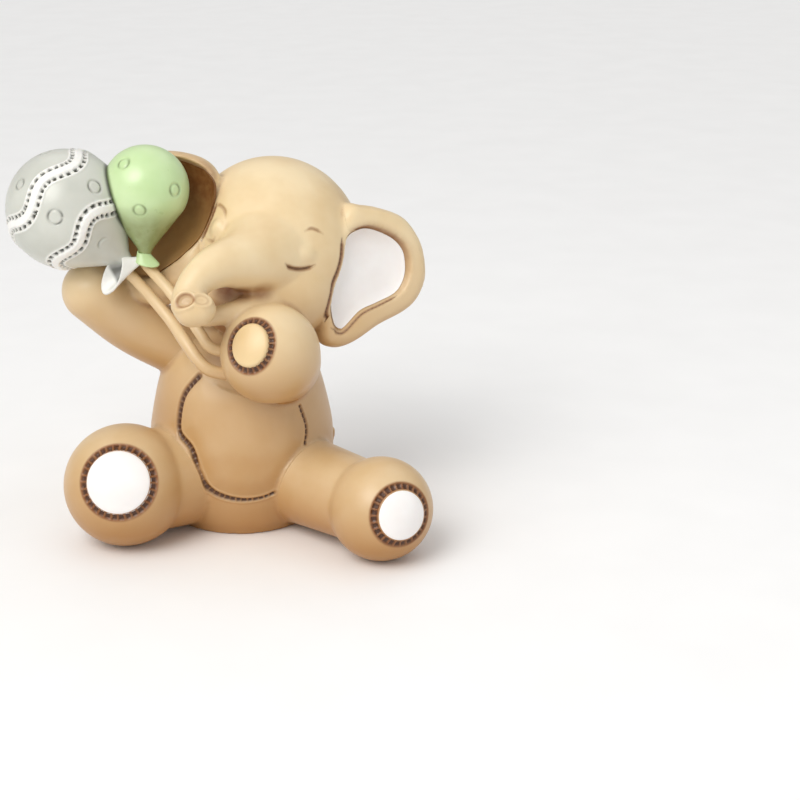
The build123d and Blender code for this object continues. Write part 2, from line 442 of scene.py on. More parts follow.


# Painted cast resin. The coat is satin and a little cloudy from the brush, a darker tan tone gets heavier
# towards the base and is painted shade on faces that turn down, brown antiquing and painted shade are
# rubbed into the hollows and wiped off the high places, and the stitches hold dark paint. The peel of the
# coat is drawn coarse enough to show.
def paintedResin(name, light, mid, wash, stitch, roughness=0.4, coat=0.22, lowAndUnderTone=None):
    material, tree, place = blankMaterial(name)
    look = resinLook
    cloud = node(tree, "ShaderNodeTexNoise", {
        "Vector": place, "Scale": 1 / (look["cloud"] * mm), "Detail": 3.0})
    cloudy = node(tree, "ShaderNodeMapRange", {
        "Value": cloud.outputs["Fac"], "From Min": look["cloudFrom"], "From Max": look["cloudTo"]})
    body = node(tree, "ShaderNodeMix", {0: cloudy.outputs["Result"], 6: linear(light), 7: linear(mid)},
                data_type="RGBA").outputs[2]
    if lowAndUnderTone:
        height = node(tree, "ShaderNodeSeparateXYZ", {"Vector": place}).outputs["Z"]
        uneven = node(tree, "ShaderNodeMath", {
            0: cloud.outputs["Fac"], 1: look["lowToneUneven"] * mm, 2: height},
            operation="MULTIPLY_ADD").outputs[0]
        lowAndShaded = node(tree, "ShaderNodeMapRange", {
            "Value": uneven, "From Min": look["lowToneFrom"] * mm, "From Max": look["lowToneTo"] * mm,
            "To Min": 0.0, "To Max": look["lowToneMost"]}).outputs["Result"]
        # Painted shade: faces that turn downwards take more of the low tone
        facingUp = node(tree, "ShaderNodeSeparateXYZ", {
            "Vector": node(tree, "ShaderNodeNewGeometry").outputs["Normal"]}).outputs["Z"]
        shadedUnder = node(tree, "ShaderNodeMapRange", {
            "Value": facingUp, "From Min": 0.75, "From Max": -0.55,
            "To Min": look["shadeFacingUp"], "To Max": 1.0}).outputs["Result"]
        lowAndShaded = node(tree, "ShaderNodeMath", {0: lowAndShaded, 1: shadedUnder}, operation="MULTIPLY").outputs[0]
        body = node(tree, "ShaderNodeMix", {0: lowAndShaded, 6: body, 7: linear(lowAndUnderTone)},
                    data_type="RGBA").outputs[2]
    streak = node(tree, "ShaderNodeTexNoise", {
        "Vector": place, "Scale": 1 / (look["streak"] * mm), "Detail": 4.0})
    # The wash layer: brown antiquing, painted shade and painted shadow, and the grey balloon's white bands
    washed = node(tree, "ShaderNodeAttribute", attribute_name="wash").outputs["Fac"]
    broken = node(tree, "ShaderNodeMath", {0: streak.outputs["Fac"], 1: 0.5}, operation="SUBTRACT")
    broken = node(tree, "ShaderNodeMath", {0: broken.outputs[0], 1: washed}, operation="MULTIPLY")
    broken = node(tree, "ShaderNodeMath", {0: broken.outputs[0], 1: look["washBroken"], 2: washed},
                  operation="MULTIPLY_ADD", use_clamp=True)
    coated = node(tree, "ShaderNodeMix", {0: broken.outputs[0], 6: body, 7: linear(wash)},
                  data_type="RGBA").outputs[2]
    # The line layer: dark stitch paint, and painted shade where the balloons touch and inside their lips
    stitched = node(tree, "ShaderNodeAttribute", attribute_name="line").outputs["Fac"]
    coloured = node(tree, "ShaderNodeMix", {0: stitched, 6: coated, 7: linear(stitch)},
                    data_type="RGBA").outputs[2]
    peel = node(tree, "ShaderNodeTexNoise", {
        "Vector": place, "Scale": 1 / (look["peel"] * mm), "Detail": 2.0})
    bump = node(tree, "ShaderNodeBump", {"Height": peel.outputs["Fac"], "Strength": look["bump"],
                                         "Distance": look["bumpDepth"] * mm})
    rough = node(tree, "ShaderNodeMapRange", {
        "Value": streak.outputs["Fac"], "To Min": roughness + look["roughFrom"],
        "To Max": roughness + look["roughTo"]}).outputs["Result"]
    shader = node(tree, "ShaderNodeBsdfPrincipled", {
        "Base Color": coloured, "Roughness": rough, "Normal": bump.outputs["Normal"],
        "Coat Weight": coat, "Coat Roughness": 0.28, "IOR": 1.5,
        "Subsurface Weight": 0.05, "Subsurface Scale": 1.2 * mm, "Subsurface Radius": (1.0, 0.6, 0.35)})
    node(tree, "ShaderNodeOutputMaterial", {"Surface": shader.outputs["BSDF"]})
    return material


# Colours are light, mid, wash and stitch. The wash colour is brown antiquing and painted shade on the
# resin, painted shade on the linings and the green balloon, and the white of the grey balloon's bands
creamResin = paintedResin("creamPaintedResin", "#EBD5AC", "#DFC394", "#8A5222", "#4E2A10", lowAndUnderTone="#AE7835")
whitePaint = paintedResin("whiteBrushedPaint", "#F8F5F3", "#F0EBE8", "#C9A27C", "#8A5A32", 0.5, 0.05)
tanPaint = paintedResin("tanPaintedPad", "#E6CB9A", "#DDBE8C", "#8A5222", "#452008")
# The right ear's tan lining; its wash colour is painted shade, darkest at the top of the dish
tanLining = paintedResin("tanLiningResin", "#D0A870", "#C2965E", "#74461C", "#2E1608", 0.5, 0.05)
greyPaint = paintedResin("greyGlossPaint", "#CFD0C7", "#BEC0B6", "#F2F1EC", "#33352A", 0.3, 0.3)
greenPaint = paintedResin("greenGlossPaint", "#CDE4B0", "#BEDA9E", "#7C8046", "#4A5A28", 0.28, 0.35)


# Soft vinyl, moulded and slightly see-through, with a faint satin skin. Its moulded grain is finer
# than this on the real one, and is drawn coarse enough to show
def mouldedVinyl():
    material, tree, place = blankMaterial("softVinyl")
    cloud = node(tree, "ShaderNodeTexNoise", {"Vector": place, "Scale": 1 / (5 * mm), "Detail": 3.0})
    colour = node(tree, "ShaderNodeMix", {
        0: cloud.outputs["Fac"], 6: linear("#E4E2DA"), 7: linear("#D2D0C6")}, data_type="RGBA").outputs[2]
    grain = node(tree, "ShaderNodeTexNoise", {"Vector": place, "Scale": 1 / (0.5 * mm), "Detail": 2.0})
    bump = node(tree, "ShaderNodeBump", {
        "Height": grain.outputs["Fac"], "Strength": 0.08, "Distance": 0.1 * mm})
    rough = node(tree, "ShaderNodeMapRange", {"Value": cloud.outputs["Fac"], "To Min": 0.38, "To Max": 0.5})
    shader = node(tree, "ShaderNodeBsdfPrincipled", {
        "Base Color": colour, "Roughness": rough.outputs["Result"], "Normal": bump.outputs["Normal"],
        "IOR": 1.52, "Subsurface Weight": 0.3, "Subsurface Scale": 2.0 * mm})
    node(tree, "ShaderNodeOutputMaterial", {"Surface": shader.outputs["BSDF"]})
    return material


# Matt white studio paper
def studioPaper():
    material, tree, place = blankMaterial("studioPaper")
    fibre = node(tree, "ShaderNodeTexNoise", {"Vector": place, "Scale": 1 / (30 * mm), "Detail": 2.0})
    colour = node(tree, "ShaderNodeMix", {
        0: fibre.outputs["Fac"], 6: linear("#FAFAFA"), 7: linear("#F4F4F4")}, data_type="RGBA").outputs[2]
    shader = node(tree, "ShaderNodeBsdfPrincipled", {"Base Color": colour, "Roughness": 0.9})
    node(tree, "ShaderNodeOutputMaterial", {"Surface": shader.outputs["BSDF"]})
    return material


softVinyl = mouldedVinyl()
paleFloor = studioPaper()
print("finishes mixed")


body = {
    "profile": [(20.5, 0.0), (22.9, 3.5), (24.7, 8.0), (25.9, 13.0), (26.5, 18.0), (26.5, 24.0),
                (26.2, 28.0), (24.6, 36.0), (22.7, 43.0), (20.2, 49.0), (15.7, 54.0), (9.7, 57.0)],
    "wall": 3.6, "floor": 6.0, "top": 57.0,
    "slot": {"length": 33.0, "height": 6.5, "z": 43.0, "from": 6.0, "reach": 34.0, "steps": 48},
    "seat": {"bore": 14.5, "ring": 17.1, "depth": 3.0, "notch": 3.0, "notchAt": 16.8},
    "capDrop": 1.0, "capIn": 2.0,
}
# The head's parts are placed from its centre; trunk and chin are rows of balls (x, y, z, radius)
skull = {
    "radii": (25.5, 26.0, 26.5), "muzzle": (-2.5, -14.0, -7.0), "muzzleRadii": (20.0, 15.0, 16.0),
    "trunk": [(-1.5, -12.0, 2.0, 16.0), (-5.0, -22.0, 3.6, 10.6), (-9.8, -29.0, 4.6, 7.4),
              (-15.4, -34.0, 4.7, 5.9), (-20.0, -38.0, 2.8, 4.7), (-22.8, -41.0, -0.2, 4.1),
              (-23.4, -43.0, -2.6, 4.3), (-22.6, -44.0, -4.0, 4.8), (-20.2, -44.6, -4.0, 4.3)],
    "chin": [(-19.0, -34.0, -9.6, 2.4), (-12.5, -32.0, -9.0, 3.1), (-5.5, -28.0, -9.0, 4.6),
             (0.0, -22.0, -9.0, 7.0)],
    "lids": [{"place": (6.2, -22.7, 4.3), "radii": (5.7, 3.2, 3.5), "turn": (0, 4, 15)},
             {"place": (-14.9, -17.5, 10.2), "radii": (2.6, 2.0, 3.4), "turn": (0, 10, -38)}],
}
headCentre = boxOf("head")[1] - Vector(skull["radii"])
feet = {
    "left": {"radius": 14.4, "hip": (11.0, -7.6, 13.6), "thigh": 13.2, "ankle": 11.2},
    "right": {"radius": 17.2, "hip": (-9.9, -6.6, 14.6), "thigh": 14.6, "ankle": 14.6},
}
footSink = 0.25  # each foot is pressed this flat on the ground
# Arms and tail are rows of balls (x, y, z, radius)
raisedArm = [(-14.5, 0.0, 49.5, 9.2), (-29.0, -1.0, 58.0, 9.0), (-39.9, -4.1, 68.5, 8.9)]
bentArm = [(10.6, -6.0, 44.5, 10.0), (11.6, -19.0, 50.4, 10.8), (8.4, -30.0, 57.0, 13.6)]
tail = [(0.9, 25.6, 10.0, 3.0), (5.6, 24.9, 5.4, 3.1), (12.4, 21.5, 3.6, 3.1), (18.4, 17.6, 5.4, 3.0),
        (23.0, 13.2, 10.6, 2.6), (25.4, 9.4, 17.0, 2.0), (26.2, 7.6, 20.2, 1.5)]
# Each ear is a puffy loft with a dish cut in its front, which runs on to the edge of the face.
# plan and dish are outlines (x, z); bowl and earRings are (depth, size)
ears = {
    "left": {"place": (27.3, -8.6, -4.7), "turn": (-8, 0, 26),
             "plan": [(-8.2, 19.2), (-3.4, 18.9), (2.4, 17.8), (10.1, 14.7), (15.1, 8.4), (16.9, 2.1),
                      (16.8, -3.6), (13.8, -9.1), (9.0, -12.4), (0.8, -15.4), (-5.6, -18.7), (-9.8, -20.3),
                      (-13.6, -20.5), (-17.0, -18.0), (-17.5, -8.0), (-15.0, 2.0), (-12.5, 12.0)],
             "dish": [(-1.5, 13.2), (5.3, 10.4), (9.2, 7.0), (10.6, 3.2), (10.3, -2.1), (7.2, -6.6),
                      (0.4, -9.2), (-5.4, -11.1), (-10.2, -15.0), (-12.3, -16.1), (-14.4, -14.2),
                      (-15.3, -8.6), (-14.3, -3.6), (-11.4, 3.7), (-9.6, 10.6), (-6.0, 13.0)],
             "bowl": [(-0.9, 0.06), (-1.0, 0.6), (-1.3, 0.88), (-2.0, 0.96), (-3.2, 1.0), (-14.0, 1.04)]},
    "right": {"place": (-34.2, -3.6, 7.8), "turn": (-24, 0, -28),
              "plan": [(21.5, 13.0), (18.0, 17.6), (10.5, 20.6), (3.0, 21.4), (-6.0, 19.5), (-14.0, 14.0),
                       (-18.5, 2.0), (-13.0, -14.0), (0.0, -21.5), (9.0, -20.0), (16.0, -14.0),
                       (19.0, -3.0), (21.0, 7.0)],
              "dish": [(3.0, 19.3), (9.2, 18.8), (13.0, 17.8), (17.0, 16.0), (20.6, 13.8), (23.2, 9.5),
                       (21.9, 2.5), (18.0, -4.5), (13.3, -8.6), (7.5, -12.0), (0.0, -14.5), (-8.0, -11.0),
                       (-13.5, 0.0), (-11.0, 11.0), (-4.5, 17.0)],
              "bowl": [(1.8, 0.06), (1.5, 0.5), (0.5, 0.75), (-0.9, 0.9), (-2.4, 0.98), (-3.4, 1.0),
                       (-14.0, 1.02)]},
}
earRings = [(-4.0, 0.1), (-4.2, 0.6), (-4.1, 0.86), (-3.2, 0.95), (-1.4, 0.99), (0.6, 1.0), (2.8, 0.985),
            (5.0, 0.93), (7.0, 0.82), (8.6, 0.66), (9.6, 0.45), (10.1, 0.22), (10.2, 0.06)]
castingSkin = {"grain": 0.55, "soften": 9}
lineSteps = {"arm": 3.0, "tail": 1.5, "skull": 2.0, "barrel": 1.0, "ear": 1.0}


def footCentre(side):
    foot = feet[side]
    low, high = boxOf(f"leg_{side}")
    padLow = boxOf(f"foot_pad_{side}")[0]
    radius = foot["radius"]
    across = high.x - radius if side == "left" else low.x + radius
    return Vector((across, padLow.y + radius, radius - footSink))


def barrel(grow, bottom, top):
    side, run = smoothLine(body["profile"], lineSteps["barrel"])
    cap = top - body["capDrop"]
    profile = [(radius + grow, height) for radius, height in side if bottom < height < cap]
    rim = profile[-1][0] - body["capIn"]
    return [(0.0, bottom), (profile[0][0], bottom)] + profile + [(rim, top), (0.0, top)]


def earPlace(side):
    return Matrix.Translation(headCentre + Vector(ears[side]["place"])) @ turnOf(ears[side]["turn"])


def earOutline(side, part="plan"):
    return [tuple(point) for point in smoothLine(ears[side][part], lineSteps["ear"], closed=True)[0]]


def addHead(bm, grow):
    addBall(bm, headCentre, [radius + grow for radius in skull["radii"]])
    addBall(bm, headCentre + Vector(skull["muzzle"]), [radius + grow for radius in skull["muzzleRadii"]])
    for part in ("trunk", "chin"):
        line = smoothLine(skull[part], lineSteps["skull"])[0]
        addLimb(bm, [(*(headCentre + Vector(ball[:3])), ball[3] + grow) for ball in line])


def castingClay():
    bm = bmesh.new()
    addTurned(bm, barrel(0.0, 0.0, body["top"]))
    addHead(bm, 0.0)
    for lid in skull["lids"]:
        addBall(bm, headCentre + Vector(lid["place"]), lid["radii"], lid["turn"], 4)
    for side, foot in feet.items():
        centre = footCentre(side)
        addBall(bm, centre, (foot["radius"],) * 3)
        addLimb(bm, [(*foot["hip"], foot["thigh"]), (*centre, foot["ankle"])])
        addLofted(bm, earOutline(side), earRings, earPlace(side))
    for arm in (raisedArm, bentArm):
        addLimb(bm, smoothLine(arm, lineSteps["arm"])[0])
    addLimb(bm, smoothLine(tail, lineSteps["tail"])[0], 3)
    return meshObject("castingClay", bm)


def turnedTool(name, profile, place=Matrix.Identity(4)):
    bm = bmesh.new()
    addTurned(bm, profile, 128, place)
    return meshObject(name, bm)


def drum(radius, bottom, top):
    return [(0.0, bottom), (radius, bottom), (radius, top), (0.0, top)]


def slotTool():
    slot = body["slot"]
    half = slot["height"] / 2
    straight = slot["length"] / 2 - half
    bm = bmesh.new()
    verts = []
    for index in range(slot["steps"]):
        angle = 2 * pi * index / slot["steps"]
        shift = straight if cos(angle) > 0 else -straight
        across, up = shift + half * cos(angle), slot["z"] + half * sin(angle)
        verts.append(bm.verts.new((across * mm, slot["from"] * mm, up * mm)))
    face = bm.faces.new(verts)
    grown = bmesh.ops.extrude_face_region(bm, geom=[face])["geom"]
    bmesh.ops.translate(bm, vec=(0, slot["reach"] * mm, 0), verts=vertsIn(grown))
    bmesh.ops.recalc_face_normals(bm, faces=bm.faces[:])
    return meshObject("slotTool", bm)


def dishTool(side):
    bm = bmesh.new()
    addLofted(bm, earOutline(side, "dish"), ears[side]["bowl"], earPlace(side))
    return meshObject("dishTool", bm)


def makeCasting():
    casting = fused(castingClay(), castingSkin["grain"], 0)
    chamber = turnedTool("chamberTool", barrel(-body["wall"], body["floor"], body["top"] - body["wall"]))
    for tool in (chamber, slotTool(), dishTool("left"), dishTool("right")):
        casting = cut(casting, tool, "DIFFERENCE")
        bpy.data.objects.remove(tool)
    casting.name = "casting"
    casting = fused(casting, castingSkin["grain"], castingSkin["soften"])
    points = pointsOf(casting.data)
    points[:, 2] = np.maximum(points[:, 2], 0.0)
    movePoints(casting.data, points)
    return casting


casting = makeCasting()
print("casting", len(casting.data.vertices))


# Brown in fine and wide creases is partly antiquing and partly painted shade; the spots are painted shadow,
# dark brown laid in the deepest shade round the trunk, chin and strings: (place, radius, amount).
# spotCore is the share of a spot that has its full amount
washAndShade = {
    "fine": {"rounds": 18, "from": 0.03, "to": 0.22, "amount": 0.6},
    "wide": {"rounds": 60, "from": 0.10, "to": 0.90, "amount": 0.70},
    "spotCore": 0.15,
    "shadows": [((-6.0, -23.0, 65.0), 8.5, 0.95), ((-3.0, -23.0, 73.5), 7.5, 0.9),
                ((1.5, -24.5, 73.6), 6.5, 0.85), ((6.0, -25.0, 73.4), 5.5, 0.7),
                ((-9.0, -25.0, 71.0), 6.5, 0.9), ((-4.0, -30.0, 75.8), 4.5, 0.5),
                ((-7.0, -22.0, 61.0), 9.0, 0.95), ((-6.0, -20.0, 58.0), 11.0, 1.0),
                ((-24.0, -2.0, 88.0), 15.0, 0.8), ((-15.0, -8.0, 76.0), 9.0, 0.5),
                ((-3.5, -27.5, 62.6), 5.0, 0.95), ((2.0, -26.0, 62.2), 5.5, 0.95)],
}


def addShadowSpots(piece, spots):
    points, values = pointsOf(piece.data), painted(piece.data, "wash")
    for place, radius, amount in spots:
        away = np.linalg.norm(points - np.array(place), axis=1)
        spread = 1 - ease(washAndShade["spotCore"] * radius, radius, away)
        values = np.maximum(values, amount * spread)
    paint(piece.data, "wash", values)


# Lays brown antiquing and painted shade in the creases, then the painted shadow spots
def washAndShadeCasting():
    total = np.zeros(len(casting.data.vertices))
    for name in ("fine", "wide"):
        part = washAndShade[name]
        depth = hollows(casting, part["rounds"])
        total = np.maximum(total, part["amount"] * ease(part["from"], part["to"], depth))
    paint(casting.data, "wash", total)
    addShadowSpots(casting, washAndShade["shadows"])


washAndShadeCasting()
print("wash laid")


# The tools that part the casting are grown a little, so that each cut falls clear of its crease
seams = {"grow": 1.0, "grain": 0.8, "below": -1.0, "pastFloor": 2.0}
pieceNames = {
    "body_shell": "bodyCasting", "head": "headCasting", "leg_left": "legLeftCasting",
    "leg_right": "legRightCasting", "raised_arm": "raisedArmCasting", "bent_arm": "bentArmCasting",
    "ear_left": "earLeftCasting", "ear_right": "earRightCasting", "tail": "tailCasting",
}


def clayTool(name, fill):
    bm = bmesh.new()
    fill(bm)
    return fused(meshObject(name, bm), seams["grain"], 0)


def washAndShadeFrom(piece, tree, values):
    points = [vert.co for vert in piece.data.vertices]
    paint(piece.data, "wash", [values[tree.find(point)[1]] for point in points])


def splitCasting():
    values = painted(casting.data, "wash")
    tree = KDTree(len(casting.data.vertices))
    for index, vert in enumerate(casting.data.vertices):
        tree.insert(vert.co, index)
    tree.balance()
    grow = seams["grow"]
    made = {}
    barrelTool = turnedTool("barrelTool", barrel(grow, seams["below"], body["top"] + grow))
    made["body_shell"], rest = parted(casting, barrelTool, "bodyCasting")
    headTool = clayTool("headTool", lambda bm: addHead(bm, grow))
    made["head"], rest = parted(rest, headTool, "headCasting")
    armLine = smoothLine(raisedArm, lineSteps["arm"])[0]
    armTool = clayTool("armTool", lambda bm: addLimb(bm, [
        (x, y, z, radius + grow) for x, y, z, radius in armLine]))
    made["raised_arm"], rest = parted(rest, armTool, "raisedArmCasting")
    names = [name for name in pieceNames if name not in made]
    places = [(boxOf(name)[0] + boxOf(name)[1]) / 2 for name in names]
    made.update(looseSolids(rest, names, places))
    seat, below, above = body["seat"], seams["below"], body["floor"] + seams["pastFloor"]
    bore = [(0.0, below), (seat["ring"], below), (seat["ring"], seat["depth"]),
            (seat["bore"], seat["depth"]), (seat["bore"], above), (0.0, above)]
    notch = drum(seat["notch"], below, seat["depth"])
    notchPlace = Matrix.Translation((0, -seat["notchAt"], 0))
    for profile, place in ((bore, Matrix.Identity(4)), (notch, notchPlace)):
        tool = turnedTool("seatTool", profile, place)
        made["body_shell"] = cut(made["body_shell"], tool, "DIFFERENCE")
        bpy.data.objects.remove(tool)
    for name, piece in made.items():
        piece.name = pieceNames[name]
        piece.data.name = pieceNames[name]
        washAndShadeFrom(piece, tree, values)
        paintBare(piece, ["line"])
        print("  ", piece.name, len(piece.data.vertices))
    return made


pieces = splitCasting()
print("casting split")


bellySeam = {
    "points": [(-11.2, -17.9, 47.1), (-15.5, -17.0, 41.4), (-17.2, -17.7, 35.1), (-17.2, -19.0, 30.8),
               (-14.0, -22.1, 27.1), (-12.1, -23.6, 20.8), (-9.9, -24.4, 16.3), (-6.2, -25.3, 13.9),
               (0.8, -25.8, 12.6), (8.2, -24.7, 14.0), (14.1, -22.5, 19.1), (17.2, -20.0, 25.7),
               (18.0, -18.1, 31.0), (16.3, -17.8, 37.2)],
    "wide": 0.85, "narrow": 0.42, "wideUntil": 38.0, "narrowFrom": 52.0, "pitch": 1.6, "depth": 0.55,
    "stitch": 0.72, "lip": 0.12, "wash": 0.35, "bulge": 0.7, "bulgeReach": 7.0, "front": -10.0,
    "reach": 2.6, "refined": 2.4, "finest": 0.22, "step": 0.25, "chord": 60,
}


def isInside(outline, across, height):
    inside = np.zeros(len(across), dtype=bool)
    for (x0, z0), (x1, z1) in zip(outline, np.roll(outline, -1, axis=0)):
        crosses = (z0 > height) != (z1 > height)
        with np.errstate(divide="ignore", invalid="ignore"):
            inside ^= crosses & (across < (x1 - x0) * (height - z0) / (z1 - z0) + x0)
    return inside


def carveBelly(piece):
    seam = bellySeam
    line, run = smoothLine(seam["points"], seam["step"])
    points = pointsOf(piece.data)
    inside = isInside(line[:, [0, 2]], points[:, 0], points[:, 2]) & (points[:, 1] < seam["front"])
    closed = np.vstack([line, np.linspace(line[-1], line[0], seam["chord"])])
    picked, away, along = nearLine(points, closed, np.zeros(len(closed)), seam["bulgeReach"])
    rise = np.where(inside, 1.0, 0.0)
    rise[picked] *= ease(0.0, seam["bulgeReach"], away)
    points += pointsOf(piece.data, "normal") * (rise * seam["bulge"])[:, None]
    movePoints(piece.data, points)
    refine(piece, [line], seam["refined"], seam["finest"])

    def shape(away, along):
        thinner = ease(seam["wideUntil"], seam["narrowFrom"], along)
        half = seam["wide"] + (seam["narrow"] - seam["wide"]) * thinner
        stitch = stitches(along, seam["pitch"], seam["stitch"])
        loose = ease(seam["wideUntil"] - 4, seam["narrowFrom"], along)
        sewn = 1 - loose * 0.75 * (1 - stitch) - (1 - loose) * 0.35 * (1 - stitch)
        across = 1 - ease(0.55 * half, half + 0.15, away)
        lip = seam["lip"] * np.exp(-((away - half - 0.45) / 0.3) ** 2)
        soft = 1 - ease(half, half + 0.6, away)
        return lip - seam["depth"] * across * sewn, across * sewn, seam["wash"] * soft

    carve(piece, line, run, seam["reach"], shape)


# A stitched ring round each sole and the paw, on the ball that it lies on
rings = {
    "leg_right": {"facing": (-0.06, -0.91, 0.42), "radii": (9.65, 9.65), "half": 0.95, "count": 32},
    "leg_left": {"facing": (0.36, -0.91, 0.22), "radii": (7.95, 7.95), "half": 0.9, "count": 27},
    "bent_arm": {"facing": (-0.43, -0.78, 0.45), "radii": (6.0, 6.8), "half": 0.9, "count": 25},
}
ringCut = {"depth": 0.75, "bar": 0.42, "share": 0.66, "barPale": 0.85, "wash": 0.9, "washOut": 0.8,
           "refined": 1.0, "reach": 1.2, "finest": 0.22, "corners": 24}


def ballOf(name):
    if name == "bent_arm":
        return Vector(bentArm[-1][:3]), bentArm[-1][3]  # the paw ends the arm
    side = name.split("_")[1]
    return footCentre(side), feet[side]["radius"]


# A closed line round a point of a ball
def ringLine(centre, radius, direction, radii, step=0.2):
    place = facing(centre, direction)
    points = []
    for index in range(ringCut["corners"]):
        angle = 2 * pi * index / ringCut["corners"]
        x, y = radii[0] * cos(angle), radii[1] * sin(angle)
        points.append(tuple(place @ Vector((x, y, sqrt(radius ** 2 - x * x - y * y)))))
    return smoothLine(points, step, closed=True)


def carveRing(piece, name):
    ring = rings[name]
    centre, radius = ballOf(name)
    line, run = ringLine(centre, radius, ring["facing"], ring["radii"])
    half = ring["half"]
    refine(piece, [line], half + ringCut["refined"], ringCut["finest"])
    pitch = (run[-1] + run[1]) / ring["count"]

    def shape(away, along):
        bar = 1 - stitches(along, pitch, ringCut["share"])
        across = 1 - ease(half - 0.25, half + 0.1, away)
        dark = across * (1 - ringCut["barPale"] * bar)
        height = -ringCut["depth"] * across + ringCut["bar"] * bar * across
        return height, dark, ringCut["wash"] * (1 - ease(half, half + ringCut["washOut"], away))

    carve(piece, line, run, half + ringCut["reach"], shape)


carveBelly(pieces["body_shell"])
for name in rings:
    carveRing(pieces[name], name)
print("belly and rings stitched")


# Lines cut in the face and ear: points, then half width, depth, how dark and how much wash
faceLines = {
    "eyeLeft": ([(12.4, -24.5, 80.6), (14.4, -24.1, 79.2), (17.0, -21.6, 78.1), (19.6, -20.2, 78.0),
                 (21.3, -19.5, 78.5)], (0.34, 0.65, 0.5, 0.7)),
    "browLeft": ([(18.8, -18.2, 87.6), (20.5, -17.3, 88.1), (22.1, -16.7, 87.5), (23.8, -16.2, 86.3)],
                 (0.24, 0.32, 0.12, 0.5)),
    "eyeRight": ([(-7.9, -12.3, 84.7), (-6.2, -14.2, 84.4), (-5.1, -14.6, 85.9)], (0.28, 0.3, 0.1, 0.4)),
    "browRight": ([(-5.8, -8.6, 92.9), (-4.1, -9.9, 93.5), (-2.7, -12.2, 92.6), (-2.4, -13.9, 90.7)],
                  (0.26, 0.3, 0.1, 0.45)),
    "faceEdge": ([(29.4, -12.6, 84.0), (28.0, -14.0, 77.6), (25.2, -16.2, 70.6), (24.2, -17.0, 65.8),
                  (25.0, -17.0, 60.4)], (0.42, 0.45, 0.85, 0.8)),
    "temple": ([(-6.4, -10.0, 95.5), (-7.4, -11.0, 90.2), (-9.2, -11.5, 83.7)], (0.35, 0.3, 0.7, 0.8)),
    "rimEdge": ([(25.5, -16.2, 59.6), (27.4, -15.9, 57.7), (29.6, -14.8, 58.4), (33.9, -12.2, 62.0),
                 (39.0, -9.4, 64.2), (44.7, -6.2, 66.4)], (0.3, 0.3, 0.7, 0.6)),
}
faceParts = {"head": ("eyeLeft", "browLeft", "eyeRight", "browRight", "faceEdge", "temple"),
             "ear_left": ("rimEdge",)}
faceCarving = {"step": 0.2, "refined": 1.8, "finest": 0.2, "reach": 2.4, "taper": 2.2, "pitch": 1.3,
               "share": 0.6, "sewnIfDarker": 0.5}


def carveFace(piece, names):
    surface = BVHTree.FromPolygons([vert.co for vert in piece.data.vertices],
                                   [face.vertices for face in piece.data.polygons])
    lines = {}
    for name in names:
        line, run = smoothLine(faceLines[name][0], faceCarving["step"])
        line = np.array([tuple(surface.find_nearest(Vector(point) * mm)[0] / mm) for point in line])
        lines[name] = line, run
    refine(piece, [line for line, run in lines.values()], faceCarving["refined"], faceCarving["finest"])
    for name, (line, run) in lines.items():
        half, depth, dark, wash = faceLines[name][1]

        def shape(away, along):
            end = faceCarving["taper"]
            taper = ease(0.0, end, along) * ease(0.0, end, run[-1] - along)
            width = half * (0.45 + 0.55 * taper)
            across = 1 - ease(0.15 * width, 1.5 * width, away)
            soft = 1 - ease(width, 2.2 * width + 0.3, away)
            sewn = taper
            if dark > faceCarving["sewnIfDarker"]:
                sewn = 0.55 + 0.45 * stitches(along, faceCarving["pitch"], faceCarving["share"])
            ends = 0.3 + 0.7 * taper
            return -depth * across * ends, dark * across * sewn, wash * soft * ends

        carve(piece, line, run, faceCarving["reach"], shape)


# The heart-shaped end of the trunk: a deep left nostril, a shallow right one and a raised rim.
# left and right are (across, up, width, height) on that end
nostrils = {"centre": (-11.2, -43.0, 76.4), "facing": (0.06, -0.64, 0.77), "left": (-2.0, 0.1, 2.5, 2.0),
            "right": (2.2, -0.2, 2.1, 1.7), "reach": 5.4, "finest": 0.22, "rim": 0.4, "depth": 1.0,
            "shallow": 0.4, "edgeWash": 0.75, "pitWash": 0.35}


def carveNostrils(piece):
    refine(piece, [np.array([nostrils["centre"]])], nostrils["reach"], nostrils["finest"])
    place = facing(nostrils["centre"], nostrils["facing"])
    local = (pointsOf(piece.data) - np.array(nostrils["centre"])) @ np.array(place.to_3x3())
    lobes = [np.hypot((local[:, 0] - across) / wide, (local[:, 1] - up) / tall)
             for across, up, wide, tall in (nostrils["left"], nostrils["right"])]
    near = np.linalg.norm(local, axis=1) < nostrils["reach"]
    heart = np.minimum(*lobes)
    deep = (1 - ease(0.5, 1.0, lobes[0])) + nostrils["shallow"] * (1 - ease(0.2, 1.0, lobes[1]))
    rim = np.exp(-((heart - 1.18) / 0.2) ** 2)
    height = np.where(near, nostrils["rim"] * rim - nostrils["depth"] * np.minimum(deep, 1.0), 0.0)
    movePoints(piece.data, pointsOf(piece.data) + pointsOf(piece.data, "normal") * height[:, None])
    edge = np.exp(-((lobes[0] - 0.86) / 0.14) ** 2)
    edge += nostrils["shallow"] * np.exp(-((lobes[1] - 0.8) / 0.2) ** 2)
    wash = np.maximum(nostrils["edgeWash"] * edge, nostrils["pitWash"] * np.minimum(deep, 1.0))
    wash = np.where(near, wash, 0.0)
    paint(piece.data, "wash", np.maximum(painted(piece.data, "wash"), wash))


# Painted shade on the wall between an ear's rim and its dish, heaviest at the top under the rim
earWallShade = {"left": 0.85, "right": 0.5, "depth": -1.8, "reach": 3.2, "core": 0.5, "low": 66.0, "high": 84.0,
           "least": 0.35}


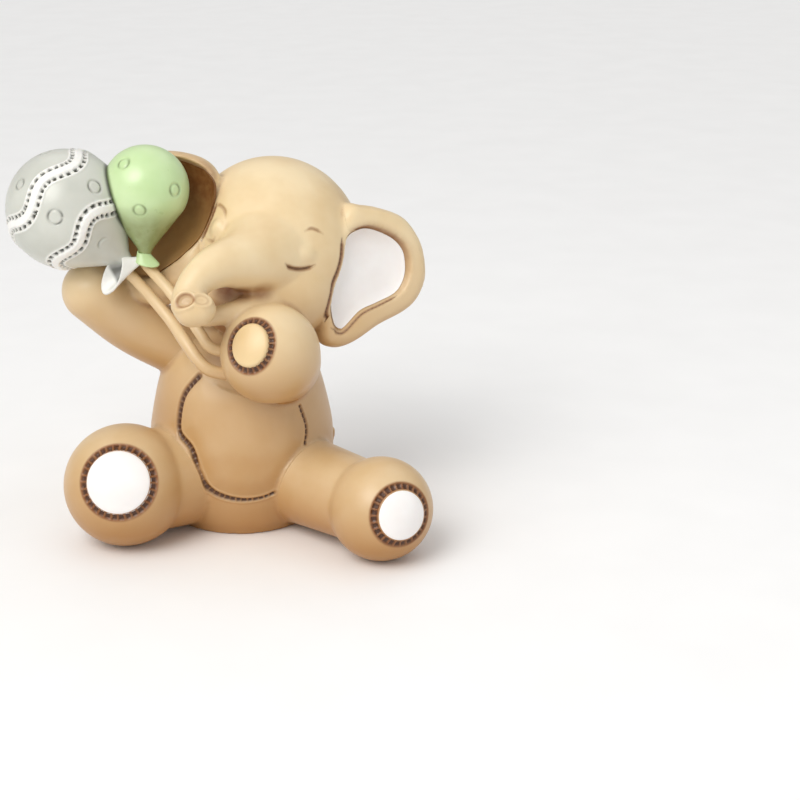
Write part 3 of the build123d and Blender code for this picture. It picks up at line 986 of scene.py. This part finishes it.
def shadeEarWall(side):
    piece = pieces[f"ear_{side}"]
    place = earPlace(side)
    line = np.array([tuple(place @ Vector((x, earWallShade["depth"], z))) for x, z in earOutline(side, "dish")])
    points, values = pointsOf(piece.data), painted(piece.data, "wash")
    picked, away, along = nearLine(points, line, np.zeros(len(line)), earWallShade["reach"])
    rise = ease(earWallShade["low"], earWallShade["high"], points[picked, 2])
    high = earWallShade["least"] + (1 - earWallShade["least"]) * rise
    near = 1 - ease(earWallShade["core"], earWallShade["reach"], away)
    values[picked] = np.maximum(values[picked], earWallShade[side] * high * near)
    paint(piece.data, "wash", values)


for name, names in faceParts.items():
    carveFace(pieces[name], names)
carveNostrils(pieces["head"])
for side in ears:
    shadeEarWall(side)
print("face carved")


# Small inlays: the painted soles, the paw's disc and the ears' linings
inlays = {
    "soleRight": {"on": "leg_right", "radii": (8.8, 8.8), "rise": 0.12, "replaces": "foot_pad_right"},
    "soleLeft": {"on": "leg_left", "radii": (6.9, 6.9), "rise": 0.12, "replaces": "foot_pad_left"},
    "pawDisc": {"on": "bent_arm", "radii": (5.2, 5.9), "rise": 0.25, "replaces": "paw_pad"},
}
inlayShape = {"edge": 0.45, "root": 1.0, "rings": 22, "steps": 96}


def makeInlay(name):
    inlay = inlays[name]
    centre, radius = ballOf(inlay["on"])
    reach, tall = inlay["radii"]
    edge, turns = inlayShape["edge"], inlayShape["rings"]
    root = sqrt(radius ** 2 - reach ** 2) - inlayShape["root"]
    profile = [(0.0, root), (reach, root)]
    for index in range(turns + 1):
        away = reach * (1 - index / turns)
        rounded = max(0.0, (away - reach + edge) / edge)
        fall = edge * (1 - sqrt(max(0.0, 1 - rounded ** 2)))
        profile.append((away, sqrt(radius ** 2 - away ** 2) + inlay["rise"] - fall))
    bm = bmesh.new()
    stretch = Matrix.Diagonal((1, tall / reach, 1, 1))
    addTurned(bm, profile, inlayShape["steps"], facing(centre, rings[inlay["on"]]["facing"]) @ stretch)
    piece = meshObject(name, bm)
    paintBare(piece)
    return piece


# Each lining fills its ear's dish and is darkened upwards from one height to another: painted shade under
# the ear's rim
linings = {
    "left": {"name": "liningLeft", "from": 76.0, "to": 90.0, "amount": 0.3},
    "right": {"name": "liningRight", "from": 76.0, "to": 99.0, "amount": 0.95},
}
liningShape = {"size": 0.97, "back": 0.9, "front": 0.25}


def makeLining(side):
    lining, size = linings[side], liningShape["size"]
    bowl = ears[side]["bowl"][:-2]
    back = [(depth + liningShape["back"], size * share) for depth, share in bowl]
    front = [(depth - liningShape["front"], size * share) for depth, share in reversed(bowl)]
    bm = bmesh.new()
    addLofted(bm, earOutline(side, "dish"), back + front, earPlace(side))
    piece = meshObject(lining["name"], bm)
    heights = pointsOf(piece.data)[:, 2]
    paint(piece.data, "wash", lining["amount"] * ease(lining["from"], lining["to"], heights))
    paintBare(piece, ["line"])
    return piece


for name in inlays:
    pieces[inlays[name]["replaces"]] = makeInlay(name)
for side in linings:
    pieces[f"ear_{side}_lining"] = makeLining(side)
print("inlays made")


# knot is the end of the neck; rings are (place, radius) of the circles pressed in
balloons = {
    "grey": {"centre": (-45.4, -8.0, 92.8), "radius": 16.3, "knot": (-30.0, -13.0, 79.4), "neck": 1.9,
             "rings": [((-56.4, -16.0, 101.7), 1.5), ((-35.4, -20.0, 102.2), 1.8),
                       ((-46.8, -24.0, 94.4), 1.95), ((-34.8, -19.0, 85.4), 1.5),
                       ((-50.2, -7.6, 108.6), 1.5), ((-60.0, 1.0, 93.8), 1.7),
                       ((-48.0, 7.5, 89.8), 1.8), ((-42.0, 5.0, 100.8), 1.5)]},
    "green": {"centre": (-23.8, -8.5, 98.2), "radius": 11.8, "knot": (-24.6, -12.4, 81.9), "neck": 1.8,
              "rings": [((-29.1, -15.1, 106.7), 1.65), ((-15.3, -16.9, 99.4), 1.65),
                        ((-25.1, -19.8, 94.4), 1.65), ((-18.2, 1.5, 102.3), 1.65),
                        ((-29.2, 1.0, 93.3), 1.65)]},
}
greyBands = [{"angle": 110.5, "swing": 5.5, "waves": 5, "turn": 42.0},
             {"angle": 55.0, "swing": 5.0, "waves": 5, "turn": 36.0}]
balloonShape = {"rows": 40, "steps": 128, "overlap": 8.0, "grain": 0.42, "soften": 6, "lowShade": 0.75,
                "contactShade": 0.85, "contactShadeReach": 1.5}
# How far from its line each kind of mark is carved and refined, and the finest edge there
marks = {"ring": {"reach": 1.0, "refined": 1.0, "finest": 0.22},
         "band": {"reach": 3.2, "refined": 3.0, "finest": 0.3, "corners": 60, "step": 0.2}}


def makeBalloon(colour):
    balloon = balloons[colour]
    axis = Vector(balloon["knot"]) - Vector(balloon["centre"])
    length, radius, neck = axis.length, balloon["radius"], balloon["neck"]
    lean = np.degrees(np.arcsin((radius - neck) / length))
    profile = [(radius * sin(radians(angle)), radius * cos(radians(angle)))
               for angle in np.linspace(180.0, 90 - lean + balloonShape["overlap"], balloonShape["rows"])]
    profile[0] = (0.0, -radius)
    profile += [(neck * 1.35, length - 0.9), (neck, length + 0.4), (neck * 0.95, length + 1.2),
                (0.0, length + 1.4)]
    bm = bmesh.new()
    addTurned(bm, profile, balloonShape["steps"], facing(balloon["centre"], axis))
    piece = fused(meshObject(f"{colour}Balloon", bm), balloonShape["grain"], balloonShape["soften"])
    other = balloons["green" if colour == "grey" else "grey"]
    points = pointsOf(piece.data)
    apart = np.abs(np.linalg.norm(points - np.array(other["centre"]), axis=1) - other["radius"])
    low = (points - np.array(balloon["centre"])) @ np.array(axis.normalized())
    paintBare(piece, ["wash"])
    # Painted shade: the green balloon is darker on its lower side towards the knot
    if colour == "green":
        paint(piece.data, "wash", balloonShape["lowShade"] * ease(0.35 * radius, 1.0 * radius, low))
    # Painted shadow on the line layer where the two balloons touch
    shadedContact = 1 - ease(0.1, balloonShape["contactShadeReach"], apart)
    paint(piece.data, "line", balloonShape["contactShade"] * shadedContact)
    return piece


# Each ring is a worn groove; its dark paint comes and goes along it
pressedRing = {"width": 0.32, "depth": 0.34, "dark": 0.75}


def ringShape(away, along):
    across = np.exp(-(away / pressedRing["width"]) ** 2)
    patchy = 0.55 + 0.45 * np.sin(along * 1.3 + 0.8)
    return -pressedRing["depth"] * across, pressedRing["dark"] * across * patchy, np.zeros(len(away))


# Across a band from its middle: a raised white strip, a row of pits and a thin white ridge
wavyBand = {"rise": 0.5, "pitDepth": 0.5, "pitch": 1.9, "share": 0.5, "ridgeAt": 2.4, "ridge": 0.25}


def bandShape(away, along):
    raised = wavyBand["rise"] * (1 - ease(0.85, 1.25, away))
    pits = stitches(along, wavyBand["pitch"], wavyBand["share"])
    pitted = ease(1.1, 1.3, away) * (1 - ease(2.0, 2.2, away)) * pits
    ridge = np.exp(-((away - wavyBand["ridgeAt"]) / 0.28) ** 2)
    height = raised - wavyBand["pitDepth"] * pitted + wavyBand["ridge"] * ridge
    white = np.maximum(1 - ease(1.2, 1.45, away), ridge)
    return height, pitted, np.maximum(white, 0.5 * (1 - ease(2.3, 2.7, away)))


def bandLine(balloon, band):
    centre, radius = Vector(balloon["centre"]), balloon["radius"]
    axis = (Vector(balloon["knot"]) - centre).normalized()
    side = axis.cross(Vector((0, 0, 1))).normalized()
    other = axis.cross(side)
    points = []
    corners = marks["band"]["corners"]
    for index in range(corners):
        angle = 2 * pi * index / corners
        wave = cos(band["waves"] * (angle - radians(band["turn"])))
        lean = radians(band["angle"] + band["swing"] * wave)
        around = side * cos(angle) + other * sin(angle)
        points.append(tuple(centre + (axis * cos(lean) + around * sin(lean)) * radius))
    return smoothLine(points, marks["band"]["step"], closed=True)


def decorate(piece, colour):
    balloon = balloons[colour]
    jobs = []
    if colour == "grey":
        jobs += [(*bandLine(balloon, band), marks["band"]["reach"], bandShape) for band in greyBands]
    for place, radius in balloon["rings"]:
        direction = Vector(place) - Vector(balloon["centre"])
        line, run = ringLine(balloon["centre"], balloon["radius"], direction, (radius, radius))
        jobs.append((line, run, marks["ring"]["reach"], ringShape))
    # The grey balloon's bands are refined widely; so are the green one's first two rings
    for kind, some in (("band", jobs[:2]), ("ring", jobs[2:])):
        refine(piece, [job[0] for job in some], marks[kind]["refined"], marks[kind]["finest"])
    for line, run, reach, shape in jobs:
        carve(piece, line, run, reach, shape)


for colour in balloons:
    pieces[f"balloon_{colour}"] = makeBalloon(colour)
    decorate(pieces[f"balloon_{colour}"], colour)
print("balloons blown")


# The balloons' flared lips below their knots: a flat cone from apex to mouth, wider along long
lips = {
    "grey": {"apex": (-26.6, -14.2, 79.4), "mouth": (-33.8, -15.4, 76.0), "long": (4.2, 2.0, 10.0),
             "short": (-4.0, 2.5, 1.0), "longRadius": 5.7, "shortRadius": 2.5, "narrow": 0.9, "wall": 0.8,
             "pale": 0.8},
    "green": {"apex": (-25.3, -12.9, 81.8), "mouth": (-24.0, -14.8, 78.8), "long": (3.0, -0.2, -0.5),
              "short": (0.2, -1.0, -0.4), "longRadius": 3.2, "shortRadius": 1.7, "narrow": 1.2, "wall": 0.7,
              "pale": 0.0},
}
lipShape = {"rows": (0.0, 0.25, 0.5, 0.75, 1.0), "flare": 1.25, "steps": 48, "grain": 0.25, "soften": 4,
            "insideShade": 0.85}


def makeLip(colour):
    lip = lips[colour]
    apex, mouth = Vector(lip["apex"]), Vector(lip["mouth"])
    along = (mouth - apex).normalized()
    long = Vector(lip["long"]).normalized()
    short = (Vector(lip["short"]) - long * Vector(lip["short"]).dot(long)).normalized()
    bm = bmesh.new()
    loops = []
    for share in lipShape["rows"]:
        flare = share ** lipShape["flare"]
        longRadius = lip["narrow"] + (lip["longRadius"] - lip["narrow"]) * flare
        shortRadius = lip["narrow"] + (lip["shortRadius"] - lip["narrow"]) * flare
        centre = apex.lerp(mouth, share)
        turn = Matrix((long * longRadius, short * shortRadius, along)).transposed().to_4x4()
        place = Matrix.Scale(mm, 4) @ Matrix.Translation(centre) @ turn
        circle = bmesh.ops.create_circle(bm, cap_ends=False, segments=lipShape["steps"], radius=1,
                                         matrix=place)["verts"]
        loops.append([edge for edge in bm.edges if edge.verts[0] in circle and edge.verts[1] in circle])
    for first, second in zip(loops, loops[1:]):
        bmesh.ops.bridge_loops(bm, edges=first + second)
    bmesh.ops.recalc_face_normals(bm, faces=bm.faces[:])
    piece = meshObject(f"{colour}Lip", bm)
    thicken = piece.modifiers.new("wall", "SOLIDIFY")
    thicken.thickness = lip["wall"] * mm
    thicken.offset = 0
    piece = fused(settled(piece), lipShape["grain"], lipShape["soften"])
    points, out = pointsOf(piece.data), pointsOf(piece.data, "normal")
    offset = points - np.array(mouth)
    depth = offset @ np.array(along)
    spoke = offset - depth[:, None] * np.array(along)
    inward = -np.einsum("ij,ij->i", out, spoke) / np.maximum(np.linalg.norm(spoke, axis=1), 1e-6)
    paint(piece.data, "wash", np.full(len(points), lip["pale"]))
    # Painted shade on the line layer inside each lip's mouth
    inside = ease(0.0, 0.45, inward) * (1 - ease(-1.0, 0.2, depth))
    paint(piece.data, "line", lipShape["insideShade"] * inside)
    return piece


# Each string is a row of balls (x, y, z, radius) from its knot to the paw
strings = {
    "outer": [(-29.5, -13.0, 76.0, 1.6), (-25.5, -13.5, 71.4, 1.6), (-18.6, -18.0, 63.8, 1.7),
              (-14.4, -25.0, 59.4, 1.8), (-9.6, -29.5, 53.8, 1.8), (-4.9, -30.0, 51.8, 1.8),
              (2.0, -29.0, 51.0, 1.7)],
    "inner": [(-24.6, -13.0, 78.0, 1.5), (-18.8, -16.5, 72.0, 1.6), (-13.6, -22.5, 66.4, 1.6),
              (-10.2, -27.0, 62.2, 1.6), (-6.8, -29.5, 58.6, 1.6), (2.0, -29.5, 57.0, 1.6)],
}
stringShape = {"step": 1.5, "divisions": 3, "grain": 0.4, "soften": 5, "wash": 0.8, "from": 0.004,
               "to": 0.05, "rounds": 8}


def makeString(name):
    shape = stringShape
    bm = bmesh.new()
    addLimb(bm, smoothLine(strings[name], shape["step"])[0], shape["divisions"])
    piece = fused(meshObject(f"{name}String", bm), shape["grain"], shape["soften"])
    # Brown in the string's hollows: antiquing and painted shade
    depth = hollows(piece, shape["rounds"])
    paint(piece.data, "wash", shape["wash"] * ease(shape["from"], shape["to"], depth))
    paintBare(piece, ["line"])
    return piece


lipPieces = {colour: makeLip(colour) for colour in lips}
for name in strings:
    pieces[f"balloon_string_{name}"] = makeString(name)
print("lips and strings made")


finishes = {
    "body_shell": creamResin, "head": creamResin, "leg_left": creamResin, "leg_right": creamResin,
    "raised_arm": creamResin, "bent_arm": creamResin, "ear_left": creamResin, "ear_right": creamResin,
    "tail": creamResin, "foot_pad_left": whitePaint, "foot_pad_right": whitePaint, "paw_pad": tanPaint,
    "ear_left_lining": whitePaint, "ear_right_lining": tanLining, "balloon_grey": greyPaint,
    "balloon_green": greenPaint, "balloon_string_outer": creamResin, "balloon_string_inner": creamResin,
}
sharpEdge = 62  # degrees; gentler bends are shaded smooth


def finishPiece(piece, material):
    piece.data.materials.clear()
    piece.data.materials.append(material)
    piece.data.shade_smooth()
    piece.data.set_sharp_from_angle(angle=radians(sharpEdge))


for cadNode, piece in pieces.items():
    finishPiece(piece, finishes[cadNode])
    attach(piece, "bank")
    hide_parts(cadNode)
for colour, piece in lipPieces.items():
    finishPiece(piece, finishes[f"balloon_{colour}"])
    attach(piece, "bank")

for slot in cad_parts["base_stopper"].material_slots:
    slot.material = softVinyl
print("pieces ride on the bank")


floor = {"size": 14000.0, "drop": 0.05}


def addFloor():
    bm = bmesh.new()
    bmesh.ops.create_grid(bm, x_segments=1, y_segments=1, size=floor["size"] / 2 * mm,
                          matrix=Matrix.Translation((0, 0, -floor["drop"] * mm)))
    piece = meshObject("studioFloor", bm)
    piece.data.materials.append(paleFloor)


addFloor()
